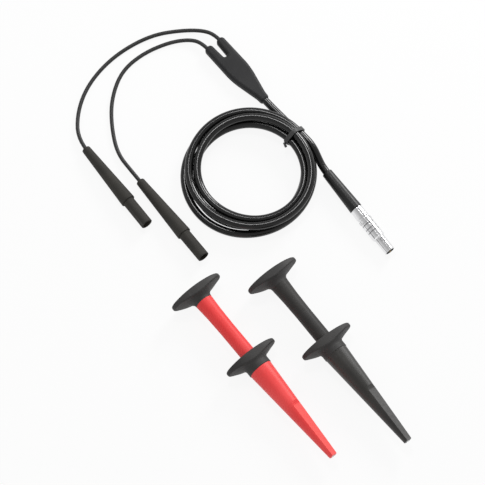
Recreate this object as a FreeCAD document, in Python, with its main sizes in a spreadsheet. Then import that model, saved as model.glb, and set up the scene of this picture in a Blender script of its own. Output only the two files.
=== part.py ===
"""Oscilloscope probe lead set, in millimetres.

A coaxial cable with a push-pull plug is coiled and tied. It ends in a flat Y junction with
two thin leads that carry shrouded 4 mm plugs. Two loose hook clips, one red and one black,
lie below it. +X is to the right, +Y away from the viewer and +Z up, and everything lies on
z = 0. The origin is the middle of the junction's flat underside.
"""

import FreeCAD, Part
import math
import os
import Sketcher
from types import SimpleNamespace

PARTS = "parts"
os.makedirs(PARTS, exist_ok=True)

SIZES = {
    # cords
    "cable_diameter": 5.5,
    "lead_diameter": 2.8,
    "cord_clearance": 0.05,
    "cord_entry": 3.0,
    # fits
    "seat_clearance": 0.05,
    "running_clearance": 0.05,
    "face_gap": 0.05,
    # junction, measured from the tips of its two arms
    "junction_length": 59.4,
    "junction_thickness": 7.0,
    "junction_half_tip": 8.5,
    "junction_half_waist": 8.75,
    "junction_half_neck": 3.6,
    "junction_neck_length": 4.6,
    "junction_taper_length": 23.3,
    "junction_taper_round_wide": 60.0,
    "junction_taper_round_neck": 16.5,
    "junction_corner_round": 2.6,
    "junction_edge_round": 2.4,
    "junction_slot_mouth": 4.4,
    "junction_slot_inner": 2.9,
    "junction_slot_depth": 14.5,
    "junction_slot_round": 1.3,
    "junction_arm_offset": 5.65,
    "split_lead_jacket_end": 14.0,
    "split_lead_wire_end": 18.0,
    "split_wire_diameter": 1.3,
    "joint_end": 24.0,
    "joint_diameter": 3.4,
    "joint_wire_diameter": 1.2,
    "joint_wire_offset": 0.9,
    "split_cable_grip": 13.4,
    "split_cable_core_bare": 5.5,
    "split_cable_core_diameter": 3.4,
    # 4 mm plugs, measured from the narrow end of the boot
    "outer_plug_x": -107.9,
    "outer_plug_y": -60.0,
    "inner_plug_x": -69.3,
    "inner_plug_y": -84.8,
    "plug_boot_length": 51.5,
    "plug_boot_narrow": 6.2,
    "plug_boot_wide": 10.4,
    "plug_boot_narrow_round": 0.9,
    "plug_boot_wide_round": 0.5,
    "shroud_diameter": 8.4,
    "shroud_bore": 6.3,
    "shroud_length": 22.0,
    "shroud_tail_diameter": 7.4,
    "shroud_tail_length": 8.0,
    "shroud_well_depth": 20.0,
    "shroud_edge_round": 0.4,
    "pin_shank_diameter": 3.0,
    "pin_barrel_diameter": 3.6,
    "pin_barrel_length": 6.0,
    "pin_barrel_bore": 1.6,
    "pin_flange_diameter": 3.9,
    "pin_flange_length": 1.4,
    "pin_core_diameter": 2.8,
    "pin_core_length": 14.0,
    "pin_tip_diameter": 3.6,
    "pin_tip_length": 2.8,
    "pin_tip_round": 1.2,
    "lantern_wall": 0.22,
    "lantern_collar": 2.4,
    "lantern_rise": 0.45,
    "lantern_slope": 2.2,
    "lantern_round": 5.0,
    "lantern_slot": 0.5,
    "lantern_slot_margin": 1.6,
    "lead_wire_diameter": 1.4,
    "lead_wire_bare": 5.0,
    # push-pull plug, measured from the narrow end of its boot
    "connector_from_coil": 8.66,
    "relief_length": 33.8,
    "relief_narrow": 7.4,
    "relief_wide": 9.4,
    "relief_round": 0.6,
    "nut_diameter": 9.2,
    "nut_length": 7.9,
    "nut_tail_diameter": 7.1,
    "nut_tail_length": 7.9,
    "nut_round": 0.35,
    "nut_throat": 1.2,
    "release_travel": 1.2,
    "release_gap": 1.3,
    "latch_diameter": 7.7,
    "latch_nose_diameter": 6.3,
    "latch_nose_end": 66.5,
    "latch_shoulder": 57.0,
    "latch_bore": 5.3,
    "latch_bore_start": 44.6,
    "latch_back_bore": 3.4,
    "latch_slit": 0.25,
    "latch_slit_from": 59.2,
    "latch_slit_to": 65.4,
    "latch_tongue": 1.9,
    "latch_hook_from": 61.6,
    "latch_hook_to": 63.4,
    "latch_hook_recess": 0.18,
    "release_diameter": 9.5,
    "release_collar": 2.5,
    "release_notch_width": 1.1,
    "release_notch_depth": 0.35,
    "release_notches": 12,
    "release_groove_first": 13.8,
    "release_groove_second": 17.4,
    "release_groove_third": 20.2,
    "release_groove_width": 0.8,
    "release_groove_depth": 0.3,
    "release_body_end": 59.1,
    "release_nose_start": 60.1,
    "release_nose_end": 71.9,
    "release_nose_diameter": 7.5,
    "release_shoulder": 58.3,
    "release_window_from": 61.3,
    "release_window_to": 65.1,
    "release_window_width": 2.3,
    "release_edge_round": 0.25,
    "collet_length": 3.4,
    "collet_slit": 0.8,
    "collet_cone": 1.2,
    "insulator_end": 66.0,
    "contact_barrel_diameter": 1.6,
    "contact_barrel_bore": 1.0,
    "contact_barrel_length": 5.0,
    "contact_diameter": 1.2,
    "contact_end": 69.5,
    "contact_round": 0.5,
    "core_insulation_diameter": 3.2,
    "core_wire_diameter": 0.9,
    "core_wire_length": 3.8,
    # hook clips, measured from the middle of the thumb button's rim
    "red_clip_right_of_coil": -36.7,
    "red_clip_below_coil": 91.3,
    "black_clip_right_of_coil": 14.9,
    "black_clip_below_coil": 79.3,
    "wing_half_width": 19.9,
    "wing_half_height": 10.0,
    "wing_blank_radius": 21.0,
    "wing_half_rim": 1.55,
    "wing_crown": 0.65,
    "wing_edge_round": 1.2,
    "wing_shoulder_radius": 16.7,
    "wing_shoulder_rise": 0.25,
    "wing_shoulder_round": 12.0,
    "button_waist_radius": 9.2,
    "button_waist_from_rim": 4.2,
    "button_neck_radius": 6.7,
    "button_neck_from_rim": 6.7,
    "button_length": 8.8,
    "button_radius": 6.4,
    "button_waist_round": 5.0,
    "button_neck_round": 3.0,
    "button_seat_from_rim": 3.0,
    "button_seat_radius": 5.35,
    "clip_well_radius": 4.3,
    "clip_well_end": 22.5,
    "well_edge_round": 0.4,
    "plunger_mid": 20.0,
    "plunger_mid_radius": 5.75,
    "plunger_straight_from": 34.0,
    "plunger_radius": 5.45,
    "plunger_bend_round": 60.0,
    "plunger_end": 76.0,
    "plunger_end_round": 0.3,
    "socket_seat_radius": 3.0,
    "socket_seat_end": 34.1,
    "socket_bore_radius": 2.0,
    "socket_bore_end": 20.5,
    "socket_hook_from": 24.0,
    "socket_edge_round": 0.3,
    "rod_radius": 0.6,
    "rod_bend_at": 144.9,
    "rod_bend_radius": 1.0,
    "rod_barb": 2.2,
    "rod_bore_gap": 0.12,
    "ring_from": 73.5,
    "ring_width": 1.5,
    "ring_radius": 5.9,
    "ring_groove_radius": 4.7,
    "ring_split": 1.2,
    "ring_chamber_radius": 6.0,
    "press_travel": 14.0,
    "spring_wire": 0.6,
    "spring_mean_radius": 2.7,
    "spring_turns": 9,
    "spring_chamber_radius": 3.6,
    "flange_rim": 59.4,
    "flange_neck_radius": 9.4,
    "flange_neck_from_rim": 4.6,
    "flange_collar_radius": 8.7,
    "flange_collar_from_rim": 6.4,
    "flange_end": 70.1,
    "flange_seat_from": 64.05,
    "flange_neck_round": 3.0,
    "barrel_spigot_radius": 7.5,
    "barrel_mouth_radius": 8.35,
    "barrel_tip_radius": 2.9,
    "barrel_end": 146.0,
    "barrel_tip_round": 0.5,
    "barrel_slot_width": 1.5,
    "barrel_slot_depth": 8.0,
    "facet_from": 99.0,
    "facet_scoop": 102.0,
    "facet_scoop_height": 4.95,
    "facet_tip_height": 1.8,
    "facet_top": 9.0,
    "facet_round": 7.0,
    "facet_angle": 55.0,
    "bush_radius": 6.65,
    "spring_seat": 104.0,
    # cable tie
    "tie_width": 3.0,
    "tie_thickness": 0.9,
    "tie_slack": 0.25,
    # coil
    "coil_centre_x": 7.5,
    "coil_centre_y": -78.7,
    "coil_radius": 44.9,
    "coil_tie_azimuth": 40.0,
    "coil_pitch": 5.95,
    "coil_turns": 4,
    "coil_fan_first": 5.0,
    "coil_fan_second": 4.7,
    "coil_fan_third": 0.0,
    "coil_fan_fourth": 0.1,
    "coil_shift_first": -1.76,
    "coil_shift_second": -1.76,
    "coil_shift_third": 3.8,
    "coil_shift_fourth": 3.41,
    "coil_top_rise": 1.4,
    "coil_inner_tuck": 3.36,
    "coil_ridge_out": 1.84,
    "coil_ridge_rise": 4.14,
}

doc = FreeCAD.newDocument("oscilloscope_probe")
sheet = doc.addObject("Spreadsheet::Sheet", "Sizes")
for row, alias in enumerate(SIZES, 1):
    sheet.set("A%d" % row, alias)
    sheet.set("B%d" % row, str(SIZES[alias]))
    sheet.setAlias("B%d" % row, alias)
doc.recompute()


class Size:
    """A length with the sheet expression that gives it."""

    def __init__(self, number, text):
        self.number = number
        self.text = text

    def join(self, sign, other, number):
        return Size(number, "(%s %s %s)" % (self.text, sign, as_size(other).text))

    def __add__(self, other):
        return self.join("+", other, self.number + as_size(other).number)

    def __sub__(self, other):
        return self.join("-", other, self.number - as_size(other).number)

    def __mul__(self, other):
        return self.join("*", other, self.number * as_size(other).number)

    def __truediv__(self, other):
        return self.join("/", other, self.number / as_size(other).number)

    def __rsub__(self, other):
        return as_size(other) - self

    def __neg__(self):
        return Size(-self.number, "(-%s)" % self.text)


def as_size(value):
    """A plain number or a size, as a size."""
    if isinstance(value, Size):
        return value
    return Size(float(value), repr(float(value)))


size = SimpleNamespace(**{name: Size(float(sheet.get(name)), "Sizes." + name) for name in SIZES})


def number(name):
    return float(sheet.get(name))


def vector(x, y, z=0.0):
    return FreeCAD.Vector(x, y, z)


X_AXIS = vector(1, 0, 0)
Y_AXIS = vector(0, 1, 0)
Z_AXIS = vector(0, 0, 1)
NODES = []


def keep(node, piece):
    """Names a finished piece and lists it for export."""
    piece.Label = node
    NODES.append(piece)
    return piece


def seat(x, y, z, heading, pitch=0.0):
    """A frame whose +X points along heading, tipped up by pitch, in degrees."""
    turn = FreeCAD.Rotation(Z_AXIS, heading).multiply(FreeCAD.Rotation(Y_AXIS, -pitch))
    return FreeCAD.Placement(vector(x, y, z), turn)


def origin_plane(body, role):
    """One of a body's own three planes."""
    return next(item for item in body.Origin.OriginFeatures if item.Role == role)


def new_sketch(body, plane, turn=0.0, shift=None):
    """A sketch on a body's own plane, turned about X or shifted along the plane's normal."""
    sketch = body.newObject("Sketcher::SketchObject", "Sketch")
    sketch.AttachmentSupport = (origin_plane(body, plane), "")
    sketch.MapMode = "FlatFace"
    if turn:
        sketch.AttachmentOffset = FreeCAD.Placement(vector(0, 0), FreeCAD.Rotation(X_AXIS, turn))
    if shift is not None:
        sketch.setExpression("AttachmentOffset.Base.z", shift.text)
    return sketch


def bind(sketch, kind, items, value):
    """A constraint whose length comes from the sheet."""
    row = sketch.addConstraint(Sketcher.Constraint(kind, *items, value.number))
    sketch.setExpression("Constraints[%d]" % row, value.text)


def pin_point(sketch, item, end, x, y):
    """Ties a point to x and y from the sketch's origin."""
    for value, kind, axis in ((x, "DistanceX", -2), (y, "DistanceY", -1)):
        if value.number == 0:
            sketch.addConstraint(Sketcher.Constraint("PointOnObject", item, end, axis))
        elif value.number > 0:
            bind(sketch, kind, (-1, 1, item, end), value)
        else:
            bind(sketch, kind, (item, end, -1, 1), -value)


def corner_arc(before, corner, after, radius):
    """The arc that rounds a corner, and which of its ends meets the incoming side."""
    back = (before - corner).normalize()
    ahead = (after - corner).normalize()
    half = back.getAngle(ahead) / 2
    centre = corner + (back + ahead).normalize() * (radius / math.sin(half))
    touch = [corner + side * (radius / math.tan(half)) - centre for side in (back, ahead)]
    angles = [math.atan2(spot.y, spot.x) for spot in touch]
    left = back.cross(ahead).z < 0
    first, last = angles if left else angles[::-1]
    if last < first:
        last += 2 * math.pi
    arc = Part.ArcOfCircle(Part.Circle(centre, Z_AXIS, radius), first, last)
    return arc, (1, 2) if left else (2, 1), [centre + spot for spot in touch]


def outline(body, plane, corners, turn=0.0, shift=None):
    """A closed sketch through corners (x, y) or (x, y, rounding), in order."""
    sketch = new_sketch(body, plane, turn, shift)
    corners = [[as_size(value) for value in corner] for corner in corners]
    spots = [vector(corner[0].number, corner[1].number) for corner in corners]
    count = len(corners)
    rounds = {}
    for at, corner in enumerate(corners):
        if len(corner) > 2:
            rounds[at] = corner_arc(spots[at - 1], spots[at], spots[(at + 1) % count], corner[2].number)
    for at in range(count):
        after = (at + 1) % count
        start = rounds[at][2][1] if at in rounds else spots[at]
        end = rounds[after][2][0] if after in rounds else spots[after]
        sketch.addGeometry(Part.LineSegment(start, end))
    for at, corner in enumerate(corners):
        line_in = (at - 1) % count
        if at not in rounds:
            sketch.addConstraint(Sketcher.Constraint("Coincident", line_in, 2, at, 1))
            pin_point(sketch, at, 1, corner[0], corner[1])
            continue
        arc, (arc_in, arc_out), _ = rounds[at]
        curve = sketch.addGeometry(arc)
        sketch.addConstraint(Sketcher.Constraint("Tangent", line_in, 2, curve, arc_in))
        sketch.addConstraint(Sketcher.Constraint("Tangent", curve, arc_out, at, 1))
        bind(sketch, "Radius", (curve,), corner[2])
        mark = sketch.addGeometry(Part.Point(spots[at]), True)
        sketch.addConstraint(Sketcher.Constraint("PointOnObject", mark, 1, line_in))
        sketch.addConstraint(Sketcher.Constraint("PointOnObject", mark, 1, at))
        pin_point(sketch, mark, 1, corner[0], corner[1])
    return sketch


def rectangle(x_from, x_to, y_from, y_to):
    return [(x_from, y_from), (x_to, y_from), (x_to, y_to), (x_from, y_to)]


def new_body(node, spot):
    body = doc.addObject("PartDesign::Body", node)
    body.Placement = spot
    return keep(node, body)


def turned(node, spot, corners):
    """A body turned about its own X axis, from corners (x, radius)."""
    body = new_body(node, spot)
    turn_profile(body, "PartDesign::Revolution", corners)
    return body


def turn_profile(body, kind, corners):
    sketch = outline(body, "XY_Plane", corners)
    feature = body.newObject(kind, "Turned")
    feature.Profile = sketch
    feature.ReferenceAxis = (sketch, ["H_Axis"])
    feature.Angle = 360
    return feature


def grow(body, kind, sketch, length, both=True):
    """A pad or a pocket of a sketch, to both sides of its plane or to one."""
    feature = body.newObject(kind, "Grown")
    feature.Profile = sketch
    feature.setExpression("Length", as_size(length).text)
    if both:
        feature.SideType = "Symmetric"
    return feature


def cut_through(body, plane, corners, length, turn=0.0):
    return grow(body, "PartDesign::Pocket", outline(body, plane, corners, turn), length)


def repeat_round(body, feature, count):
    """Repeats a feature about the body's own X axis."""
    pattern = body.newObject("PartDesign::PolarPattern", "Pattern")
    pattern.Originals = [feature]
    pattern.Axis = (origin_plane(body, "X_Axis"), [""])
    pattern.Angle = 360
    pattern.Occurrences = count
    body.Tip = pattern
    return pattern


def round_edges(body, feature, radius, chosen):
    """Rounds the edges of a feature that the test picks out."""
    doc.recompute()
    names = ["Edge%d" % at for at, edge in enumerate(feature.Shape.Edges, 1) if chosen(edge)]
    fillet = body.newObject("PartDesign::Fillet", "Rounded")
    fillet.Base = (feature, names)
    fillet.setExpression("Radius", radius.text)
    body.Tip = fillet
    return fillet


# cord tubes
BEND_SHARE = 0.45


def unit(spot):
    return vector(spot.x, spot.y, spot.z).normalize()


def bend_route(points):
    """Straight runs joined by tangent arcs: the wire and its smallest bend radius."""
    edges = []
    here = points[0]
    tightest = float("inf")
    for at in range(1, len(points) - 1):
        back = points[at - 1] - points[at]
        ahead = points[at + 1] - points[at]
        half = (math.pi - back.getAngle(ahead)) / 2
        reach = BEND_SHARE * min(back.Length, ahead.Length)
        radius = reach / math.tan(half)
        first = points[at] + unit(back) * reach
        last = points[at] + unit(ahead) * reach
        centre_way = unit(unit(back) + unit(ahead))
        middle = points[at] + centre_way * (radius / math.cos(half) - radius)
        edges.append(Part.LineSegment(here, first).toShape())
        edges.append(Part.Arc(first, middle, last).toShape())
        here = last
        tightest = min(tightest, radius)
    edges.append(Part.LineSegment(here, points[-1]).toShape())
    return Part.Wire(edges), tightest


def sweep(node, wire, start, way, diameter):
    """A round tube along a wire, kept as a piece."""
    ring = Part.Wire([Part.Circle(start, way, diameter / 2).toShape()])
    tube = wire.makePipeShell([ring], True, False)
    piece = doc.addObject("Part::Feature", node)
    piece.Shape = tube
    piece.Placement = FreeCAD.Placement()
    ideal = math.pi * diameter * diameter / 4 * wire.Length
    print("%s: length %.1f mm, volume / (section x length) %.4f" % (node, wire.Length, tube.Volume / ideal))
    return keep(node, piece)


def cord(node, points, diameter):
    wire, tightest = bend_route(points)
    print("%s: smallest bend radius %.1f mm = %.1f diameters" % (node, tightest, tightest / diameter))
    print("  route: " + " ".join("(%.2f, %.2f, %.2f)" % tuple(spot) for spot in points))
    return sweep(node, wire, points[0], points[1] - points[0], diameter)


# junction
JUNCTION_HEADING = -50.57
half_junction = number("junction_length") / 2
taper_to = size.junction_length - size.junction_neck_length
taper_from = taper_to - size.junction_taper_length
jacket_end = size.junction_length - size.split_cable_grip
cable_core_end = jacket_end - size.split_cable_core_bare
junction_seat = FreeCAD.Placement(
    vector(
        -half_junction * math.cos(math.radians(JUNCTION_HEADING)),
        -half_junction * math.sin(math.radians(JUNCTION_HEADING)),
        number("junction_thickness") / 2,
    ),
    FreeCAD.Rotation(Z_AXIS, JUNCTION_HEADING),
)

shell = doc.addObject("PartDesign::Body", "junction_shell")
shell_half = [
    (0, size.junction_half_tip, size.junction_corner_round),
    (taper_from, size.junction_half_waist, size.junction_taper_round_wide),
    (taper_to, size.junction_half_neck, size.junction_taper_round_neck),
    (size.junction_length, size.junction_half_neck, size.junction_corner_round),
]
slot_half = [
    (size.junction_slot_depth, size.junction_slot_inner / 2, size.junction_slot_round),
    (0, size.junction_slot_mouth / 2, size.junction_corner_round),
]
lower_shell = [(x, -y, r) for x, y, r in shell_half[::-1]]
lower_slot = [(x, -y, r) for x, y, r in slot_half[::-1]]
shell_sketch = outline(shell, "XY_Plane", shell_half + lower_shell + lower_slot + slot_half)
shell_pad = grow(shell, "PartDesign::Pad", shell_sketch, size.junction_thickness)
half_thickness = number("junction_thickness") / 2
round_edges(
    shell,
    shell_pad,
    size.junction_edge_round,
    lambda edge: abs(abs(edge.CenterOfMass.z) - half_thickness) < 1e-6,
)


def round_bar(name, start, way, radius, length):
    """A plain round bar from start along way."""
    bar = doc.addObject("Part::Cylinder", name)
    bar.setExpression("Radius", radius.text)
    bar.setExpression("Height", length.text)
    bar.Placement = FreeCAD.Placement(start, FreeCAD.Rotation(Z_AXIS, way))
    return bar


def joint_bars(name, side, slack):
    """The crimp and its bare wire inside the junction, larger by slack."""
    offset = side * number("junction_arm_offset")
    start = vector(number("split_lead_jacket_end"), offset)
    knee = vector(number("joint_end"), offset)
    goal = vector(cable_core_end.number, side * number("joint_wire_offset"))
    crimp = round_bar(
        name + "_crimp", start, X_AXIS, size.joint_diameter / 2 + slack,
        size.joint_end - size.split_lead_jacket_end,
    )
    wire = round_bar(
        name + "_wire", knee, goal - knee, size.joint_wire_diameter / 2 + slack,
        as_size((goal - knee).Length - number("face_gap")),
    )
    return [crimp, wire]


def fuse(name, items):
    joined = doc.addObject("Part::MultiFuse", name)
    joined.Shapes = items
    return joined


def cut(name, base, tool):
    result = doc.addObject("Part::Cut", name)
    result.Base = base
    result.Tool = tool
    return result


hollows = []
for side in (1, -1):
    tag = "outer" if side > 0 else "inner"
    offset = side * number("junction_arm_offset")
    hollows.append(round_bar(
        tag + "_lead_bore", vector(-1, offset), X_AXIS, size.lead_diameter / 2 + size.cord_clearance,
        size.split_lead_jacket_end + size.face_gap + 1,
    ))
    hollows += joint_bars(tag + "_hollow", side, size.cord_clearance)
neck_end = vector(number("junction_length") + 1, 0)
hollows.append(round_bar(
    "cable_bore", neck_end, -X_AXIS, size.cable_diameter / 2 + size.cord_clearance,
    size.junction_length - jacket_end + size.face_gap + 1,
))
hollows.append(round_bar(
    "core_bore", neck_end, -X_AXIS, size.split_cable_core_diameter / 2 + size.cord_clearance,
    size.junction_length - cable_core_end + size.face_gap + 1,
))
moulding = cut("junction_moulding", shell, fuse("junction_hollows", hollows))
moulding.Placement = junction_seat
keep("junction_moulding", moulding)

for tag, side in (("outer", 1), ("inner", -1)):
    offset = side * number("junction_arm_offset")
    arm_seat = junction_seat.multiply(FreeCAD.Placement(vector(0, offset), FreeCAD.Rotation()))
    turned(tag + "_lead_split_end", arm_seat, [
        (size.cord_entry, 0),
        (size.split_lead_wire_end, 0),
        (size.split_lead_wire_end, size.split_wire_diameter / 2),
        (size.split_lead_jacket_end, size.split_wire_diameter / 2),
        (size.split_lead_jacket_end, size.lead_diameter / 2),
        (size.cord_entry, size.lead_diameter / 2),
    ])
    crimp_bore = round_bar(
        tag + "_crimp_bore", vector(number("split_lead_jacket_end") - 1, offset), X_AXIS,
        size.split_wire_diameter / 2 + size.seat_clearance,
        size.split_lead_wire_end - size.split_lead_jacket_end + size.face_gap + 1,
    )
    crimp = cut(tag + "_lead_joint", fuse(tag + "_joint_bars", joint_bars(tag + "_joint", side, 0)), crimp_bore)
    crimp.Placement = junction_seat
    keep(tag + "_lead_joint", crimp)

turned("main_cable_split_end", junction_seat, [
    (cable_core_end, 0),
    (size.junction_length - size.cord_entry, 0),
    (size.junction_length - size.cord_entry, size.cable_diameter / 2),
    (jacket_end, size.cable_diameter / 2),
    (jacket_end, size.split_cable_core_diameter / 2),
    (cable_core_end, size.split_cable_core_diameter / 2),
])

# 4 mm plugs
PLUG_HEADINGS = {"outer": -52.84, "inner": -52.25}
narrow_height = number("plug_boot_narrow") / 2
plug_pitch = math.degrees(
    math.atan((number("plug_boot_wide") / 2 - narrow_height) / number("plug_boot_length"))
)
plug_seats = {}
boot_end = size.plug_boot_length
tail_start = boot_end - size.shroud_tail_length
barrel_start = tail_start - size.pin_barrel_length
web_end = boot_end + size.shroud_length - size.shroud_well_depth
shroud_end = boot_end + size.shroud_length
core_start = web_end + size.pin_flange_length
core_end = core_start + size.pin_core_length
tip_end = core_end + size.pin_tip_length
lead_bore = size.lead_diameter / 2 + size.cord_clearance
barrel_seat = size.pin_barrel_diameter / 2 + size.seat_clearance
tail_seat = size.shroud_tail_diameter / 2 + size.seat_clearance
web_bore = size.pin_shank_diameter / 2 + size.seat_clearance
lantern_inner = size.pin_core_diameter / 2 + size.seat_clearance
lantern_outer = lantern_inner + size.lantern_wall
lantern_from = core_start + size.face_gap
lantern_to = core_end - size.face_gap
bulge_from = lantern_from + size.lantern_collar
bulge_to = lantern_to - size.lantern_collar

for tag, heading in PLUG_HEADINGS.items():
    plug_x = number(tag + "_plug_x")
    plug_y = number(tag + "_plug_y")
    spot = seat(plug_x, plug_y, narrow_height, heading, plug_pitch)
    plug_seats[tag] = spot
    turned(tag + "_plug_boot", spot, [
        (0, lead_bore),
        (barrel_start - size.face_gap, lead_bore),
        (barrel_start - size.face_gap, barrel_seat),
        (tail_start - size.face_gap, barrel_seat),
        (tail_start - size.face_gap, tail_seat),
        (boot_end, tail_seat),
        (boot_end, size.plug_boot_wide / 2, size.plug_boot_wide_round),
        (0, size.plug_boot_narrow / 2, size.plug_boot_narrow_round),
    ])
    turned(tag + "_plug_shroud", spot, [
        (tail_start, web_bore),
        (web_end, web_bore),
        (web_end, size.shroud_bore / 2),
        (shroud_end, size.shroud_bore / 2, size.shroud_edge_round),
        (shroud_end, size.shroud_diameter / 2, size.shroud_edge_round),
        (boot_end, size.shroud_diameter / 2),
        (boot_end, size.shroud_tail_diameter / 2),
        (tail_start, size.shroud_tail_diameter / 2),
    ])
    turned(tag + "_plug_pin", spot, [
        (tail_start - size.face_gap, 0),
        (tip_end, 0),
        (tip_end, size.pin_tip_diameter / 2, size.pin_tip_round),
        (core_end, size.pin_tip_diameter / 2),
        (core_end, size.pin_core_diameter / 2),
        (core_start, size.pin_core_diameter / 2),
        (core_start, size.pin_flange_diameter / 2),
        (web_end + size.face_gap, size.pin_flange_diameter / 2),
        (web_end + size.face_gap, size.pin_shank_diameter / 2),
        (tail_start - size.face_gap, size.pin_shank_diameter / 2),
        (tail_start - size.face_gap, size.pin_barrel_diameter / 2),
        (barrel_start, size.pin_barrel_diameter / 2),
        (barrel_start, size.pin_barrel_bore / 2),
        (tail_start - size.face_gap, size.pin_barrel_bore / 2),
    ])
    spring = turned(tag + "_plug_lantern_spring", spot, [
        (lantern_from, lantern_inner),
        (bulge_from, lantern_inner, size.lantern_round),
        (bulge_from + size.lantern_slope, lantern_inner + size.lantern_rise, size.lantern_round),
        (bulge_to - size.lantern_slope, lantern_inner + size.lantern_rise, size.lantern_round),
        (bulge_to, lantern_inner, size.lantern_round),
        (lantern_to, lantern_inner),
        (lantern_to, lantern_outer),
        (bulge_to, lantern_outer, size.lantern_round),
        (bulge_to - size.lantern_slope, lantern_outer + size.lantern_rise, size.lantern_round),
        (bulge_from + size.lantern_slope, lantern_outer + size.lantern_rise, size.lantern_round),
        (bulge_from, lantern_outer, size.lantern_round),
        (lantern_from, lantern_outer),
    ])
    slot = cut_through(spring, "XZ_Plane", rectangle(
        lantern_from + size.lantern_slot_margin, lantern_to - size.lantern_slot_margin,
        -size.lantern_slot / 2, size.lantern_slot / 2,
    ), size.shroud_bore)
    repeat_round(spring, slot, 3)
    wire_start = barrel_start - size.face_gap
    turned(tag + "_plug_lead_end", spot, [
        (size.cord_entry, 0),
        (wire_start + size.lead_wire_bare, 0),
        (wire_start + size.lead_wire_bare, size.lead_wire_diameter / 2),
        (wire_start, size.lead_wire_diameter / 2),
        (wire_start, size.lead_diameter / 2),
        (size.cord_entry, size.lead_diameter / 2),
    ])

# push-pull plug
CONNECTOR_AZIMUTH = -1.3
CONNECTOR_HEADING = -53.8
CONNECTOR_PITCH = -1.7
connector_height = number("release_diameter") / 2 * math.cos(math.radians(CONNECTOR_PITCH)) - number(
    "release_body_end") * math.sin(math.radians(CONNECTOR_PITCH))
connector_reach = number("coil_radius") + number("connector_from_coil")
connector_x = number("coil_centre_x") + connector_reach * math.cos(math.radians(CONNECTOR_AZIMUTH))
connector_y = number("coil_centre_y") + connector_reach * math.sin(math.radians(CONNECTOR_AZIMUTH))
connector_seat = seat(connector_x, connector_y, connector_height, CONNECTOR_HEADING, CONNECTOR_PITCH)
relief_end = size.relief_length
cable_bore = size.cable_diameter / 2 + size.cord_clearance
nut_start = relief_end - size.nut_tail_length
nut_end = relief_end + size.nut_length
throat_end = relief_end + size.nut_throat
nut_bore = size.latch_diameter / 2 + size.seat_clearance
collet_end = throat_end + size.face_gap + size.collet_length
latch_start = collet_end + size.face_gap
release_start = nut_end + size.release_gap

turned("connector_boot", connector_seat, [
    (0, cable_bore),
    (nut_start - size.face_gap, cable_bore),
    (nut_start - size.face_gap, size.nut_tail_diameter / 2 + size.seat_clearance),
    (relief_end, size.nut_tail_diameter / 2 + size.seat_clearance),
    (relief_end, size.relief_wide / 2, size.relief_round),
    (0, size.relief_narrow / 2, size.relief_round),
])
turned("connector_nut", connector_seat, [
    (nut_start, cable_bore),
    (throat_end, cable_bore),
    (throat_end, nut_bore),
    (nut_end, nut_bore),
    (nut_end, size.nut_diameter / 2, size.nut_round),
    (relief_end, size.nut_diameter / 2, size.nut_round),
    (relief_end, size.nut_tail_diameter / 2),
    (nut_start, size.nut_tail_diameter / 2),
])
collet = turned("connector_collet", connector_seat, [
    (throat_end + size.face_gap, cable_bore),
    (collet_end, cable_bore),
    (collet_end, size.latch_diameter / 2 - size.collet_cone / 2),
    (collet_end - size.collet_cone, size.latch_diameter / 2),
    (throat_end + size.face_gap, size.latch_diameter / 2),
])
collet_cut = outline(collet, "YZ_Plane", rectangle(
    0, size.latch_diameter, -size.collet_slit / 2, size.collet_slit / 2,
), shift=collet_end + 1)
grow(collet, "PartDesign::Pocket", collet_cut, size.collet_length + 2, both=False)
latch = turned("connector_latch_sleeve", connector_seat, [
    (latch_start, 0),
    (size.latch_nose_end, 0),
    (size.latch_nose_end, size.latch_nose_diameter / 2),
    (size.latch_shoulder, size.latch_nose_diameter / 2),
    (size.latch_shoulder, size.latch_diameter / 2),
    (latch_start, size.latch_diameter / 2),
])
hook_span = size.release_nose_diameter - size.latch_hook_recess * 2
grow(latch, "PartDesign::Pad", outline(latch, "XY_Plane", rectangle(
    size.latch_hook_from, size.latch_hook_to, -size.latch_tongue / 2, size.latch_tongue / 2,
)), hook_span)
turn_profile(latch, "PartDesign::Groove", [
    (latch_start - 1, 0),
    (size.latch_nose_end + 1, 0),
    (size.latch_nose_end + 1, size.latch_bore / 2),
    (size.latch_bore_start, size.latch_bore / 2),
    (size.latch_bore_start, size.latch_back_bore / 2),
    (latch_start - 1, size.latch_back_bore / 2),
])
for slit_side in (1, -1):
    edge = size.latch_tongue / 2 * slit_side
    cut_through(latch, "XY_Plane", rectangle(
        size.latch_slit_from, size.latch_slit_to, edge, edge + size.latch_slit * slit_side,
    ), hook_span + 1)

groove_marks = [
    relief_end + size.release_groove_first,
    relief_end + size.release_groove_second,
    relief_end + size.release_groove_third,
]
release_radius = size.release_diameter / 2
groove_floor = release_radius - size.release_groove_depth
release_profile = [
    (release_start, nut_bore),
    (release_start, release_radius, size.release_edge_round),
]
for mark in [release_start + size.release_collar + size.release_groove_width / 2] + groove_marks:
    release_profile += [
        (mark - size.release_groove_width / 2, release_radius),
        (mark - size.release_groove_width / 2, groove_floor),
        (mark + size.release_groove_width / 2, groove_floor),
        (mark + size.release_groove_width / 2, release_radius),
    ]
release_profile += [
    (size.release_body_end, release_radius),
    (size.release_nose_start, size.release_nose_diameter / 2),
    (size.release_nose_end, size.release_nose_diameter / 2, size.release_edge_round),
    (size.release_nose_end, size.latch_nose_diameter / 2 + size.running_clearance),
    (size.release_shoulder, size.latch_nose_diameter / 2 + size.running_clearance),
    (size.release_shoulder, nut_bore),
]
release = turned("connector_release_sleeve", connector_seat, release_profile)
cut_through(release, "XY_Plane", rectangle(
    size.release_window_from, size.release_window_to,
    -size.release_window_width / 2, size.release_window_width / 2,
), size.release_diameter)
notch_sketch = outline(release, "YZ_Plane", rectangle(
    release_radius - size.release_notch_depth, release_radius + 1,
    -size.release_notch_width / 2, size.release_notch_width / 2,
), shift=release_start + size.release_collar)
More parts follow.
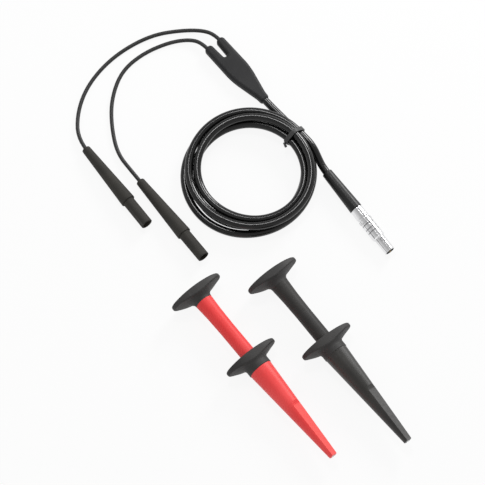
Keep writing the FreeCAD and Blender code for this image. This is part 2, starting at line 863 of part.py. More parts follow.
notch = grow(release, "PartDesign::Pocket", notch_sketch, size.release_collar + size.face_gap, both=False)
repeat_round(release, notch, int(number("release_notches")))

turned("connector_insulator", connector_seat, [
    (size.latch_bore_start + size.face_gap, size.contact_barrel_diameter / 2 + size.seat_clearance),
    (size.latch_bore_start + size.contact_barrel_length + size.face_gap * 3,
     size.contact_barrel_diameter / 2 + size.seat_clearance),
    (size.latch_bore_start + size.contact_barrel_length + size.face_gap * 3,
     size.contact_diameter / 2 + size.seat_clearance),
    (size.insulator_end, size.contact_diameter / 2 + size.seat_clearance),
    (size.insulator_end, size.latch_bore / 2 - size.seat_clearance),
    (size.latch_bore_start + size.face_gap, size.latch_bore / 2 - size.seat_clearance),
])
contact_start = size.latch_bore_start + size.face_gap * 2
contact_step = contact_start + size.contact_barrel_length
turned("connector_centre_pin", connector_seat, [
    (contact_step, 0),
    (size.contact_end, 0),
    (size.contact_end, size.contact_diameter / 2, size.contact_round),
    (contact_step, size.contact_diameter / 2),
    (contact_step, size.contact_barrel_diameter / 2),
    (contact_start, size.contact_barrel_diameter / 2),
    (contact_start, size.contact_barrel_bore / 2),
    (contact_step, size.contact_barrel_bore / 2),
])
turned("connector_cable_end", connector_seat, [
    (size.cord_entry, 0),
    (contact_start + size.core_wire_length, 0),
    (contact_start + size.core_wire_length, size.core_wire_diameter / 2),
    (size.latch_bore_start, size.core_wire_diameter / 2),
    (size.latch_bore_start, size.core_insulation_diameter / 2),
    (collet_end, size.core_insulation_diameter / 2),
    (collet_end, size.cable_diameter / 2),
    (size.cord_entry, size.cable_diameter / 2),
])


# hook clips
CLIP_HEADINGS = {"red": -51.5, "black": -52.69}
clip_seats = {}


def trim_to_oval(body):
    """Cuts a disc to the wing's oval outline and rounds its rim."""
    sketch = new_sketch(body, "YZ_Plane")
    blank = number("wing_blank_radius") + 2
    circle = sketch.addGeometry(Part.Circle(vector(0, 0), Z_AXIS, blank))
    sketch.addConstraint(Sketcher.Constraint("Coincident", circle, 3, -1, 1))
    bind(sketch, "Radius", (circle,), size.wing_blank_radius + 2)
    oval = sketch.addGeometry(
        Part.Ellipse(vector(0, 0), number("wing_half_width"), number("wing_half_height"))
    )
    sketch.exposeInternalGeometry(oval)
    long_axis = oval + 1
    short_axis = oval + 2
    sketch.addConstraint(Sketcher.Constraint("Coincident", oval, 3, -1, 1))
    sketch.addConstraint(Sketcher.Constraint("Horizontal", long_axis))
    bind(sketch, "Distance", (long_axis, 1, long_axis, 2), size.wing_half_width * 2)
    bind(sketch, "Distance", (short_axis, 1, short_axis, 2), size.wing_half_height * 2)
    trimmed = grow(body, "PartDesign::Pocket", sketch, size.barrel_end * 2)
    wide = number("wing_half_width")
    high = number("wing_half_height")

    def on_rim(edge):
        middle = edge.valueAt((edge.FirstParameter + edge.LastParameter) / 2)
        ends = [edge.valueAt(edge.FirstParameter), middle, edge.valueAt(edge.LastParameter)]
        on_oval = all(abs((p.y / wide) ** 2 + (p.z / high) ** 2 - 1) < 1e-3 for p in ends)
        return on_oval and edge.Curve.TypeId != "Part::GeomLine"

    round_edges(body, trimmed, size.wing_edge_round, on_rim)


for tag, heading in CLIP_HEADINGS.items():
    clip_x = number("coil_centre_x") + number(tag + "_clip_right_of_coil")
    clip_y = number("coil_centre_y") - number(tag + "_clip_below_coil")
    spot = seat(clip_x, clip_y, number("wing_half_height"), heading)
    clip_seats[tag] = spot
    button = turned(tag + "_clip_thumb_button", spot, [
        (-size.wing_half_rim - size.wing_crown, size.clip_well_radius, size.well_edge_round),
        (size.button_seat_from_rim, size.clip_well_radius),
        (size.button_seat_from_rim, size.button_seat_radius),
        (size.button_length, size.button_seat_radius),
        (size.button_length, size.button_radius),
        (size.button_neck_from_rim, size.button_neck_radius, size.button_neck_round),
        (size.button_waist_from_rim, size.button_waist_radius, size.button_waist_round),
        (size.wing_half_rim + size.wing_shoulder_rise, size.wing_shoulder_radius, size.wing_shoulder_round),
        (size.wing_half_rim, size.wing_blank_radius),
        (-size.wing_half_rim, size.wing_blank_radius),
    ])
    trim_to_oval(button)
    turned(tag + "_clip_plunger", spot, [
        (size.button_seat_from_rim + size.face_gap, size.clip_well_radius),
        (size.clip_well_end, size.clip_well_radius),
        (size.clip_well_end, size.socket_seat_radius),
        (size.socket_seat_end, size.socket_seat_radius),
        (size.socket_seat_end, size.rod_radius + size.rod_bore_gap),
        (size.plunger_end, size.rod_radius + size.rod_bore_gap),
        (size.plunger_end, size.plunger_radius, size.plunger_end_round),
        (size.ring_from + size.ring_width + size.face_gap * 2, size.plunger_radius),
        (size.ring_from + size.ring_width + size.face_gap * 2, size.ring_groove_radius),
        (size.ring_from - size.face_gap, size.ring_groove_radius),
        (size.ring_from - size.face_gap, size.plunger_radius),
        (size.plunger_straight_from, size.plunger_radius, size.plunger_bend_round),
        (size.plunger_mid, size.plunger_mid_radius, size.plunger_bend_round),
        (size.button_length + size.face_gap, size.button_radius),
        (size.button_length + size.face_gap, size.button_seat_radius - size.seat_clearance),
        (size.button_seat_from_rim + size.face_gap, size.button_seat_radius - size.seat_clearance),
    ])
    turned(tag + "_clip_socket", spot, [
        (size.socket_bore_end, 0),
        (size.socket_hook_from, 0),
        (size.socket_hook_from, size.rod_radius + size.seat_clearance),
        (size.socket_seat_end - size.face_gap, size.rod_radius + size.seat_clearance),
        (size.socket_seat_end - size.face_gap, size.socket_seat_radius - size.seat_clearance),
        (0, size.socket_seat_radius - size.seat_clearance, size.socket_edge_round),
        (0, size.socket_bore_radius, size.socket_edge_round),
        (size.socket_bore_end, size.socket_bore_radius),
    ])
    ring = turned(tag + "_clip_stop_ring", spot, [
        (size.ring_from, size.ring_groove_radius + size.seat_clearance),
        (size.ring_from + size.ring_width, size.ring_groove_radius + size.seat_clearance),
        (size.ring_from + size.ring_width, size.ring_radius),
        (size.ring_from, size.ring_radius),
    ])
    ring_cut = outline(ring, "YZ_Plane", rectangle(
        0, size.ring_radius + 1, -size.ring_split / 2, size.ring_split / 2,
    ), shift=size.ring_from + size.ring_width + 1)
    grow(ring, "PartDesign::Pocket", ring_cut, size.ring_width + 2, both=False)
    flange_back = size.flange_rim - size.wing_half_rim
    flange_front = size.flange_rim + size.wing_half_rim
    bush_bore = size.plunger_radius + size.running_clearance
    flange = turned(tag + "_clip_finger_flange", spot, [
        (flange_back - size.wing_crown, bush_bore, size.well_edge_round),
        (size.flange_seat_from, bush_bore),
        (size.flange_seat_from, size.barrel_spigot_radius + size.seat_clearance),
        (size.flange_end, size.barrel_spigot_radius + size.seat_clearance),
        (size.flange_end, size.flange_collar_radius, size.well_edge_round),
        (size.flange_rim + size.flange_collar_from_rim, size.flange_collar_radius, size.flange_neck_round),
        (size.flange_rim + size.flange_neck_from_rim, size.flange_neck_radius, size.flange_neck_round),
        (flange_front + size.wing_shoulder_rise, size.wing_shoulder_radius, size.wing_shoulder_round),
        (flange_front, size.wing_blank_radius),
        (flange_back, size.wing_blank_radius),
    ])
    trim_to_oval(flange)
    bush_from = size.flange_seat_from + size.face_gap
    bush_to = size.ring_from - size.face_gap * 2
    turned(tag + "_clip_guide_bush", spot, [
        (bush_from, bush_bore),
        (bush_to, bush_bore),
        (bush_to, size.bush_radius),
        (bush_from, size.bush_radius),
    ])
    bush_seat = size.bush_radius + size.seat_clearance
    ring_room = size.ring_chamber_radius
    chamber_end = size.plunger_end + size.press_travel + size.face_gap * 4
    rod_bore = size.rod_radius + size.rod_bore_gap
    barrel = turned(tag + "_clip_barrel", spot, [
        (bush_from, bush_seat),
        (bush_to + size.face_gap, bush_seat),
        (bush_to + size.face_gap, ring_room),
        (chamber_end, ring_room),
        (chamber_end, size.spring_chamber_radius),
        (size.spring_seat, size.spring_chamber_radius),
        (size.spring_seat, rod_bore),
        (size.barrel_end, rod_bore),
        (size.barrel_end, size.barrel_tip_radius, size.barrel_tip_round),
        (size.flange_end, size.barrel_mouth_radius),
        (size.flange_end, size.barrel_spigot_radius),
        (bush_from, size.barrel_spigot_radius),
    ])
    cut_through(barrel, "XY_Plane", [
        (size.facet_from, size.facet_top),
        (size.facet_scoop, size.facet_scoop_height, size.facet_round),
        (size.barrel_end + 1, size.facet_tip_height),
        (size.barrel_end + 1, size.facet_top),
    ], size.facet_top * 2, turn=number("facet_angle"))
    barb_slot = outline(barrel, "XY_Plane", rectangle(
        size.barrel_end - size.barrel_slot_depth, size.barrel_end + 1,
        -size.barrel_slot_width / 2, size.barrel_slot_width / 2,
    ))
    grow(barrel, "PartDesign::Pocket", barb_slot, size.barrel_mouth_radius, both=False)
    spring_from = number("plunger_end") + number("face_gap")
    spring_to = number("spring_seat") - number("face_gap")
    spring_seat = spot.multiply(
        FreeCAD.Placement(vector(spring_from + number("spring_wire") / 2, 0), FreeCAD.Rotation())
    )
    coil_spring = new_body(tag + "_clip_return_spring", spring_seat)
    wire_sketch = new_sketch(coil_spring, "XY_Plane")
    wire_ring = wire_sketch.addGeometry(
        Part.Circle(vector(0, number("spring_mean_radius")), Z_AXIS, number("spring_wire") / 2)
    )
    bind(wire_sketch, "Radius", (wire_ring,), size.spring_wire / 2)
    pin_point(wire_sketch, wire_ring, 3, as_size(0), size.spring_mean_radius)
    helix = coil_spring.newObject("PartDesign::AdditiveHelix", "Helix")
    helix.Profile = wire_sketch
    helix.ReferenceAxis = (wire_sketch, ["H_Axis"])
    helix.Mode = 0
    spring_height = size.spring_seat - size.plunger_end - size.face_gap * 2 - size.spring_wire
    helix.setExpression("Pitch", (spring_height / size.spring_turns).text)
    helix.setExpression("Height", spring_height.text)
    hook_points = [vector(number("socket_hook_from") + number("face_gap"), 0), vector(number("rod_bend_at"), 0)]
    bend = number("rod_bend_radius")
    hook_low = hook_points[1] + vector(0, 0, -2 * bend)
    hook_wire = Part.Wire([
        Part.LineSegment(hook_points[0], hook_points[1]).toShape(),
        Part.Arc(hook_points[1], hook_points[1] + vector(bend, 0, -bend), hook_low).toShape(),
        Part.LineSegment(hook_low, hook_low - vector(number("rod_barb"), 0)).toShape(),
    ])
    hook = sweep(tag + "_clip_hook", hook_wire, hook_points[0], X_AXIS, number("rod_radius") * 2)
    hook.Placement = spot


# coil
CLIMB_FROM = 1.66
CLIMB_TO = 2.05
TUCK_AT = 2.06
TUCK_REACH = 0.27
RIDGE_AT = 3.07
RIDGE_OUT_REACH = 0.24
RIDGE_RISE_REACH = 0.54
cable = number("cable_diameter")
pitch = number("coil_pitch")
turns = int(number("coil_turns"))
STRANDS = ("first", "second", "third", "fourth")
fans = [number("coil_fan_" + name) for name in STRANDS]
shifts = [number("coil_shift_" + name) for name in STRANDS]
tie_lift = number("tie_thickness") + number("tie_slack")
half_turns = turns / 2


def ease(share):
    """Rises smoothly from 0 to 1."""
    share = min(max(share, 0.0), 1.0)
    return share * share * (3 - 2 * share)


def hump(turned_by, at, reach):
    """Rises smoothly to 1 at one place and back to 0."""
    return ease(1 - abs(turned_by - at) / reach)


def coil_spot(turned_by):
    """The cable's centre after so many clockwise turns from the tie."""
    strand = min(int(turned_by), turns - 1)
    around = 2 * math.pi * turned_by
    wound = turned_by if turned_by < half_turns else turns - turned_by
    passed = 360 * (turned_by - strand)
    radius = number("coil_radius") - pitch * wound + fans[strand] * math.sin(around / 2) ** 2
    radius += shifts[strand] * ease(passed / 50) * (1 - ease((passed - 100) / 80))
    radius += number("coil_top_rise") * ease((passed - 220) / 80) * (1 - ease((passed - 300) / 60))
    radius += number("coil_inner_tuck") * hump(turned_by, TUCK_AT, TUCK_REACH)
    radius += number("coil_ridge_out") * hump(turned_by, RIDGE_AT, RIDGE_OUT_REACH)
    azimuth = math.radians(number("coil_tie_azimuth")) - around
    height = cable / 2 + pitch * ease((turned_by - CLIMB_FROM) / (CLIMB_TO - CLIMB_FROM))
    height += number("coil_ridge_rise") * hump(turned_by, RIDGE_AT, RIDGE_RISE_REACH)
    height += tie_lift * max(0.0, math.cos(around)) ** 2
    return vector(
        number("coil_centre_x") + radius * math.cos(azimuth),
        number("coil_centre_y") + radius * math.sin(azimuth),
        height,
    )


def coil_way(turned_by):
    """The cable's direction there, level where it passes the tie at either end."""
    step = 1e-4
    low = max(turned_by - step, 0.0)
    high = min(turned_by + step, turns)
    return unit(coil_spot(high) - coil_spot(low))


def biarc(start, way, end, end_way):
    """Two tangent arcs from start to end."""
    chord = end - start
    both = way + end_way
    square = 4 - both.dot(both)
    slope = 2 * both.dot(chord)
    reach = (-slope + math.sqrt(slope * slope + 4 * square * chord.dot(chord))) / (2 * square)
    first_corner = start + way * reach
    last_corner = end - end_way * reach
    joint = (first_corner + last_corner) * 0.5
    arcs = []
    for here, corner, there in ((start, first_corner, joint), (joint, last_corner, end)):
        middle = (here + there) * 0.5
        half_chord = (there - here).Length / 2
        rise = (corner - middle).Length
        alpha = math.atan2(rise, half_chord)
        arcs.append((here, middle + unit(corner - middle) * (half_chord * math.tan(alpha / 2)), there))
    return arcs


quarters = turns * 4
stations = [at / 4 for at in range(quarters + 1)]
coil_start = coil_spot(0)
coil_end = coil_spot(turns)
start_way = coil_way(0)
end_way = coil_way(turns)
coil_in = coil_start - start_way * cable
coil_out = coil_end + end_way * cable
coil_edges = [Part.LineSegment(coil_in, coil_start).toShape()]
coil_samples = []
for low, high in zip(stations, stations[1:]):
    for here, middle, there in biarc(coil_spot(low), coil_way(low), coil_spot(high), coil_way(high)):
        arc = Part.Arc(here, middle, there)
        coil_edges.append(arc.toShape())
        coil_samples += coil_edges[-1].discretize(Number=18)[:-1]
coil_edges.append(Part.LineSegment(coil_end, coil_out).toShape())
coil_wire = Part.Wire(coil_edges)
sweep("main_cable_coil", coil_wire, coil_in, start_way, cable)

steps = len(coil_samples) // turns
nearest = min(
    (first - second).Length
    for at, first in enumerate(coil_samples)
    for second in coil_samples[at + steps // 2:]
)
print("coil: smallest gap between turns %.2f mm" % (nearest - cable))

# tie round the five strands
tie_azimuth = math.radians(number("coil_tie_azimuth"))
outward = vector(math.cos(tie_azimuth), math.sin(tie_azimuth))
hub = vector(number("coil_centre_x"), number("coil_centre_y"))
strands = []
for count in range(turns + 1):
    spot = coil_spot(count)
    strands.append(((spot - hub).dot(outward), spot.z))


def hull(points):
    """The outer corners of a set of flat points, anticlockwise."""
    points = sorted(set(points))
    sides = []
    for order in (points, points[::-1]):
        side = []
        for point in order:
            while len(side) > 1 and (
                (side[-1][0] - side[-2][0]) * (point[1] - side[-2][1])
                - (side[-1][1] - side[-2][1]) * (point[0] - side[-2][0])
            ) <= 1e-9:
                side.pop()
            side.append(point)
        sides += side[:-1]
    return sides


def rounded_loop(corners, radius):
    """A wire at a set distance round the corners, in the tie's plane."""
    edges = []
    count = len(corners)

    def lift(point):
        return hub + outward * point[0] + vector(0, 0, point[1])

    def off(first, second, at):
        along = (second[0] - first[0], second[1] - first[1])
        size_of = math.hypot(*along)
        return (at[0] + along[1] / size_of * radius, at[1] - along[0] / size_of * radius)

    for at in range(count):
        before, here, after = corners[at - 1], corners[at], corners[(at + 1) % count]
        arrive = off(before, here, here)
        leave = off(here, after, here)
        middle = ((arrive[0] + leave[0]) / 2 - here[0], (arrive[1] + leave[1]) / 2 - here[1])
        stretch = radius / math.hypot(*middle)
        top = (here[0] + middle[0] * stretch, here[1] + middle[1] * stretch)
        edges.append(Part.Arc(lift(arrive), lift(top), lift(leave)).toShape())
        edges.append(Part.LineSegment(lift(leave), lift(off(here, after, after))).toShape())
    return Part.Wire(edges)


along_tie = vector(math.sin(tie_azimuth), -math.cos(tie_azimuth))
tie_corners = hull([(round(r, 6), round(z, 6)) for r, z in strands])
inner_loop = rounded_loop(tie_corners, cable / 2 + number("tie_slack"))
outer_loop = rounded_loop(tie_corners, cable / 2 + number("tie_slack") + number("tie_thickness"))
tie_half = along_tie * (number("tie_width") / 2)


def slab(loop):
    """What a loop holds, the tie's width thick."""
    face = Part.Face(loop)
    face.translate(-tie_half)
    return face.extrude(tie_half * 2)


band = slab(outer_loop).cut(slab(inner_loop))
inner_side = hub + outward * (min(r for r, z in strands) - cable / 2 - number("tie_slack"))
KNOT_RADIUS = 0.9
KNOT_LENGTH = 3.4
innermost = min(strands)
knot_start = inner_side - outward * (number("tie_thickness") + KNOT_RADIUS * 0.7) + vector(0, 0, innermost[1])
knot = Part.makeCylinder(KNOT_RADIUS, KNOT_LENGTH, knot_start - along_tie * 0.2, unit(along_tie - outward * 0.35))
tie = doc.addObject("Part::Feature", "cable_tie")
tie.Shape = band.fuse(knot)
tie.Placement = FreeCAD.Placement()
keep("cable_tie", tie)

# cord routes
entry = number("cord_entry")
LEAD_RUN = 8.0
PLUG_RUN = 12.9
FLOOR_LEAD = number("lead_diameter") / 2
LEAD_ROUTES = {
    "outer": [(-27.0, 34.3, 2.6), (-42.4, 34.8, FLOOR_LEAD), (-62.0, 31.3, FLOOR_LEAD),
              (-81.3, 20.6, FLOOR_LEAD), (-97.2, 6.3, FLOOR_LEAD), (-109.3, -11.9, FLOOR_LEAD),
              (-114.8, -31.6, FLOOR_LEAD)],
    "inner": [(-35.2, 26.9, 2.6), (-50.5, 25.2, FLOOR_LEAD), (-69.6, 15.9, FLOOR_LEAD),
              (-84.4, 1.6, FLOOR_LEAD), (-90.8, -19.6, FLOOR_LEAD), (-90.6, -40.0, FLOOR_LEAD),
              (-86.0, -62.4, FLOOR_LEAD)],
}
for tag, side in (("outer", 1), ("inner", -1)):
    offset = side * number("junction_arm_offset")
    plug = plug_seats[tag]
    route = [junction_seat.multVec(vector(entry, offset)), junction_seat.multVec(vector(entry - LEAD_RUN, offset))]
    route += [vector(*spot) for spot in LEAD_ROUTES[tag]]
    route += [plug.multVec(vector(entry - PLUG_RUN, 0)), plug.multVec(vector(entry, 0))]
    cord(tag + "_lead", route, number("lead_diameter"))

NECK_RUN = 8.0
COIL_RUN = 8.0
BOOT_RUN = 7.69
neck = number("junction_length")
cord("main_cable_split_side", [
    junction_seat.multVec(vector(neck - entry, 0)),
    junction_seat.multVec(vector(neck - entry + NECK_RUN, 0)),
    coil_in - start_way * COIL_RUN,
    coil_in,
], cable)
cord("main_cable_plug_side", [
    coil_out,
    coil_out + end_way * 5.7,
    vector(52.51, -63.32, 9.25),
    vector(55.08, -69.15, 7.89),
    connector_seat.multVec(vector(entry - BOOT_RUN, 0)),
    connector_seat.multVec(vector(entry, 0)),
], cable)

doc.recompute()
for item in doc.Objects:
    if "Invalid" in item.State or "Error" in item.State:
        raise RuntimeError("%s of %s: %s" % (item.Label, [near.Label for near in item.InList], item.State))
for piece in NODES:
    shape = piece.Shape
    if shape.isNull() or not shape.isValid() or len(shape.Solids) != 1:
        raise RuntimeError("%s is not one valid solid (%d)" % (piece.Label, len(shape.Solids)))
    shape.exportStep(os.path.join(PARTS, piece.Label + ".step"))
print("%d pieces" % len(NODES))
for name, spot, x in (
    ("connector nose end", connector_seat, number("release_nose_end")),
    ("outer plug shroud end", plug_seats["outer"], (boot_end + size.shroud_length).number),
    ("inner plug shroud end", plug_seats["inner"], (boot_end + size.shroud_length).number),
    ("red clip socket mouth", clip_seats["red"], 0.0),
    ("black clip socket mouth", clip_seats["black"], 0.0),
):
    end = spot.multVec(vector(x, 0))
    way = spot.Rotation.multVec(X_AXIS)
    print("%s: (%.4f, %.4f, %.4f) way (%.6f, %.6f, %.6f)" % ((name,) + tuple(end) + tuple(way)))
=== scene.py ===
import math

import bpy
from mathutils import Matrix, Vector


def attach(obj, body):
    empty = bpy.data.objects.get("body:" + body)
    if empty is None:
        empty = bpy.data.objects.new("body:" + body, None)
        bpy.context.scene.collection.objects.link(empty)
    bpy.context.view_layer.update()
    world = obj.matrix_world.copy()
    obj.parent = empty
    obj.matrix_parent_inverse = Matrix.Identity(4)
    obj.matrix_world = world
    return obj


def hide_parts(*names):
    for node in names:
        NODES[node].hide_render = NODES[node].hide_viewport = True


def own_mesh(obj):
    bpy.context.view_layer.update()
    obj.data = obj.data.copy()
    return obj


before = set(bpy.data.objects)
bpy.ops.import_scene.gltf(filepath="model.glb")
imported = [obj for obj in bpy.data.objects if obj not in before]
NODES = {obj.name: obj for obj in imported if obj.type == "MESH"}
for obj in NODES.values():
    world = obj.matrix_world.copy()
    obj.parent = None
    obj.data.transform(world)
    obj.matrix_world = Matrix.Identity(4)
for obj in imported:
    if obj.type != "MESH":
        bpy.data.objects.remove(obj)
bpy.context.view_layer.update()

MM = 0.001


def grey(level):
    return (level, level, level, 1.0)


def colour(red, green, blue):
    return (red, green, blue, 1.0)


def blend(share, first, second):
    """The colour that far from the first colour to the second."""
    return tuple(low + (high - low) * share for low, high in zip(first, second))


# shader maths
NOISE_MIDDLE = 0.5
MIX_FACTOR, MIX_FIRST, MIX_SECOND, MIX_RESULT = 0, 6, 7, 2


class Wire:
    """A shader socket that takes part in Python expressions."""

    def __init__(self, tree, socket):
        self.tree = tree
        self.socket = socket

    def __add__(self, other):
        return self.tree.math("ADD", self, other)

    __radd__ = __add__

    def __mul__(self, other):
        return self.tree.math("MULTIPLY", self, other)

    __rmul__ = __mul__

    def __sub__(self, other):
        return self.tree.math("SUBTRACT", self, other)

    def __rsub__(self, other):
        return self.tree.math("SUBTRACT", other, self)

    def between(self, low, high):
        """0 at low, 1 at high, smooth in between and level beyond."""
        return self.tree.node(
            "ShaderNodeMapRange", {"interpolation_type": "SMOOTHSTEP"},
            {"Value": self, "From Min": low, "From Max": high},
        )

    def swing(self, size):
        """How far the noise is off its middle, times the size."""
        return (self - NOISE_MIDDLE) * size


class Tree:
    """The nodes of one material or of the sky."""

    def __init__(self, owner):
        owner.use_nodes = True
        self.nodes = owner.node_tree.nodes
        self.links = owner.node_tree.links

    def supply(self, socket, value):
        """Links a wire to the socket, or sets the socket's own value."""
        if isinstance(value, Wire):
            self.links.new(value.socket, socket)
        else:
            socket.default_value = value

    def node(self, kind, settings, values, out=0):
        """A node of that kind, with its settings made first and then its inputs."""
        made = self.nodes.new(kind)
        for key, value in settings.items():
            setattr(made, key, value)
        for key, value in values.items():
            self.supply(made.inputs[key], value)
        if len(made.outputs):
            return Wire(self, made.outputs[out])

    def math(self, operation, first, second):
        return self.node("ShaderNodeMath", {"operation": operation}, {0: first, 1: second})

    def mix(self, factor, first, second):
        """A colour between two colours."""
        values = {MIX_FACTOR: factor, MIX_FIRST: first, MIX_SECOND: second}
        return self.node("ShaderNodeMix", {"data_type": "RGBA"}, values, MIX_RESULT)

    def ray(self, kind):
        """1 for rays of that kind and 0 for all others."""
        return self.node("ShaderNodeLightPath", {}, {}, kind)


# finishes, with sizes in metres
WORN_EDGE = (0.53, 0.62)
GROOVE_FLOOR = (0.49, 0.42)
FACET_SPREAD = (0.985, 0.998)


class Finish(Tree):
    """A material with one Principled shader and the nodes that feed it."""

    def __init__(self, name, **constants):
        self.material = bpy.data.materials.new(name)
        super().__init__(self.material)
        self.shader = next(n for n in self.nodes if n.type == "BSDF_PRINCIPLED")
        for key, value in constants.items():
            self.shader.inputs[key.replace("_", " ")].default_value = value
        self.place = self.node("ShaderNodeTexCoord", {}, {}, "Object")

    def feed(self, key, wire):
        self.supply(self.shader.inputs[key], wire)

    def noise(self, size, detail, roughness=0.5, place=None):
        """Grain of about that size, from 0 to 1."""
        return self.node(
            "ShaderNodeTexNoise", {},
            {"Vector": place or self.place, "Scale": 1 / size, "Detail": detail, "Roughness": roughness},
        )

    def relief(self, height, depth):
        """Fine relief of that depth on the surface."""
        self.feed("Normal", self.node("ShaderNodeBump", {}, {"Height": height, "Distance": depth}))

    def edges(self):
        """1 on worn outer edges and 0 elsewhere."""
        return self.node("ShaderNodeNewGeometry", {}, {}, "Pointiness").between(*WORN_EDGE)

    def groove_shade_mask(self):
        """1 at the bottom of grooves, where shade is painted, and 0 elsewhere."""
        return self.node("ShaderNodeNewGeometry", {}, {}, "Pointiness").between(*GROOVE_FLOOR)

    def facing(self, way):
        """1 where the surface faces that way and 0 elsewhere."""
        normal = self.node("ShaderNodeTexCoord", {}, {}, "Normal")
        aligned = self.node(
            "ShaderNodeVectorMath", {"operation": "DOT_PRODUCT"},
            {0: normal, 1: Vector(way).normalized()}, "Value")
        return aligned.between(*FACET_SPREAD)


PATCHES = {"size": 0.018, "detail": 4.0}
PATCH_SPREAD = (0.3, 0.7)
PATCH_SHEEN = 0.12
SPARK = {"detail": 2.0, "roughness": 0.6}
SPARK_SHEEN = 0.10
# noise that mottles the painted highlight on a facet
HIGHLIGHT_MOTTLE = {"size": 0.0022, "detail": 3.0, "roughness": 0.65}
HIGHLIGHT_MOTTLE_SPREAD = (0.2, 0.75)
FAINTEST_HIGHLIGHT = 0.55
WORN_GREY = grey(0.5)
WORN_SHARE = 0.5


def moulded(name, dark, light, rough, grain=0.0006, depth=0.00002, wear=0.35, specular=0.5,
            highlight_way=None, highlight_tone=None):
    """Moulded plastic: fine spark grain, uneven sheen and paler worn edges, with a mottled painted
    highlight on any facet that faces the given way.
    """
    finish = Finish(name, Specular_IOR_Level=specular)
    broad = finish.noise(**PATCHES)
    fine = finish.noise(grain, **SPARK)
    tone = finish.mix(broad.between(*PATCH_SPREAD), dark, light)
    # painted highlight, mottled by noise, where the surface faces the given way
    if highlight_way:
        mottling = finish.noise(**HIGHLIGHT_MOTTLE).between(*HIGHLIGHT_MOTTLE_SPREAD)
        highlight_share = FAINTEST_HIGHLIGHT + (1 - FAINTEST_HIGHLIGHT) * mottling
        tone = finish.mix(finish.facing(highlight_way) * highlight_share, tone, highlight_tone)
    tone = finish.mix(finish.edges() * wear * fine, tone, blend(WORN_SHARE, light, WORN_GREY))
    finish.feed("Base Color", tone)
    finish.feed("Roughness", rough + broad.swing(PATCH_SHEEN) + fine.swing(SPARK_SHEEN))
    finish.relief(fine, depth)
    return finish.material


RING_SIZE = 0.00018
RING_DETAIL = 2.0
RING_STRETCH = (1.0, 0.01, 0.01)
RING_SHEEN = 0.12
RING_DEPTH = 0.000004
SMEARS = {"size": 0.006, "detail": 4.0}
SMEAR_SPREAD = (0.45, 0.8)
SMEAR_SHEEN = 0.10
TARNISH = 0.15
TARNISH_GREY = colour(0.35, 0.35, 0.36)
TARNISH_SHARE = 0.5
# painted shade for the bottom of grooves
GROOVE_PAINTED_SHADE = colour(0.08, 0.08, 0.085)


def turned_metal(name, bright, rough, turn, pitch):
    """Metal turned on a lathe: fine rings square to its own axis, and painted shade in its grooves."""
    finish = Finish(name, Metallic=1.0)
    turned = finish.node(
        "ShaderNodeMapping", {"vector_type": "POINT"},
        {"Vector": finish.place, "Rotation": (0.0, math.radians(pitch), -math.radians(turn))},
    )
    stretched = finish.node("ShaderNodeMapping", {}, {"Vector": turned, "Scale": RING_STRETCH})
    rings = finish.noise(RING_SIZE, RING_DETAIL, place=stretched)
    smears = finish.noise(**SMEARS)
    dull = blend(TARNISH_SHARE, bright, TARNISH_GREY)
    tone = finish.mix(smears.between(*SMEAR_SPREAD) * TARNISH, bright, dull)
    # painted shade darkens the bottom of the grooves
    finish.feed("Base Color", finish.mix(finish.groove_shade_mask(), tone, GROOVE_PAINTED_SHADE))
    finish.feed("Roughness", rough + rings.swing(RING_SHEEN) + smears.swing(SMEAR_SHEEN))
    finish.relief(rings, RING_DEPTH)
    return finish.material


JACKET_PATCHES = {"size": 0.03, "detail": 3.0}
JACKET_SHEEN = 0.10
WAVES = {"size": 0.006, "detail": 2.0}
WAVE_SHEEN = 0.05
WAVE_DEPTH = 0.000006


def cord_rubber(name, dark, light, rough, specular):
    """Extruded jacket of a cord: faint waves under an uneven sheen."""
    finish = Finish(name, Specular_IOR_Level=specular)
    broad = finish.noise(**JACKET_PATCHES)
    waves = finish.noise(**WAVES)
    finish.feed("Base Color", finish.mix(broad, dark, light))
    finish.feed("Roughness", rough + broad.swing(JACKET_SHEEN) + waves.swing(WAVE_SHEEN))
    finish.relief(waves, WAVE_DEPTH)
    return finish.material


# directions of the connector and the clips in degrees, and the way that each clip's facet with a painted
# highlight faces
CONNECTOR_TURN = -53.8
CONNECTOR_PITCH = -1.7
CLIP_TURN = -52.0
RED_FACET_HIGHLIGHT_WAY = (0.491, 0.302, 0.817)
BLACK_FACET_HIGHLIGHT_WAY = (0.497, 0.291, 0.817)

